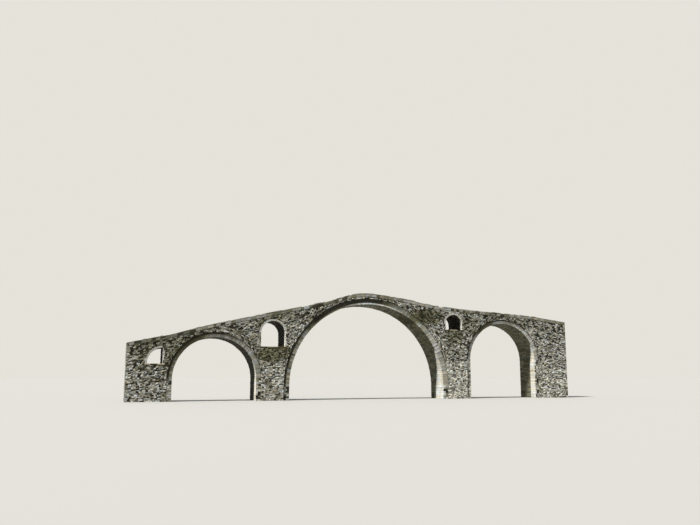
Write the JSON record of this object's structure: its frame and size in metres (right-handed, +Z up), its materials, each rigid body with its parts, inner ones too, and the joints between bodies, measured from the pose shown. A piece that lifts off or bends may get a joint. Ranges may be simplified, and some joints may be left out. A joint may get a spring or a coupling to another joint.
{
  "type": "scale model of a stone arch bridge",
  "caption": "Old rubble stone bridge at 1:2 scale, with a high main arch, lower side arches, round-headed relief openings over the piers, a humped road and pointed cutwaters.",
  "frame": {"origin": "middle of the plan, on the level of the lowest foot", "axes": "+X along the road to the right as seen from the front, +Y from the front to the upstream back, +Z up"},
  "size_m": [28, 2.805, 6.3936],
  "materials": {
    "ring_stone": "rough, weathered cut stone",
    "rubble_wall": "rough rubble with open dark joints, lichen and moss",
    "pier_stone": "rough coursed rubble, washed pale near the foot",
    "rubble_core": "rough rubble and lime mortar",
    "sill_stone": "rough slab",
    "paving_stone": "worn cobbles",
    "coping_slab": "rough split slabs",
    "cutwater_stone": "rough coursed blocks"
  },
  "bodies": {
    "root": {"main_arch_left_haunch": "ring_stone", "main_arch_crown": "ring_stone", "main_arch_right_haunch": "ring_stone", "left_arch": "ring_stone", "right_arch": "ring_stone", "left_end_relief_vault": "ring_stone", "left_end_relief_sill": "sill_stone", "left_pier_relief_vault": "ring_stone", "left_pier_relief_sill": "sill_stone", "right_pier_relief_vault": "ring_stone", "right_pier_relief_sill": "sill_stone", "left_abutment": "pier_stone", "left_pier": "pier_stone", "right_pier": "pier_stone", "right_abutment": "pier_stone", "front_spandrel_left_end": "rubble_wall", "front_spandrel_left_bay": "rubble_wall", "front_spandrel_right_bay": "rubble_wall", "front_spandrel_right_end": "rubble_wall", "back_spandrel_left_end": "rubble_wall", "back_spandrel_left_bay": "rubble_wall", "back_spandrel_right_bay": "rubble_wall", "back_spandrel_right_end": "rubble_wall", "rubble_core_left_end": "rubble_core", "rubble_core_left_bay": "rubble_core", "rubble_core_right_bay": "rubble_core", "rubble_core_right_end": "rubble_core", "paving_left": "paving_stone", "paving_right": "paving_stone", "front_coping_left": "coping_slab", "front_coping_right": "coping_slab", "back_coping_left": "coping_slab", "back_coping_right": "coping_slab", "left_cutwater": "cutwater_stone", "left_cutwater_cap": "cutwater_stone", "right_cutwater": "cutwater_stone", "right_cutwater_cap": "cutwater_stone"}
  },
  "joints": []
}
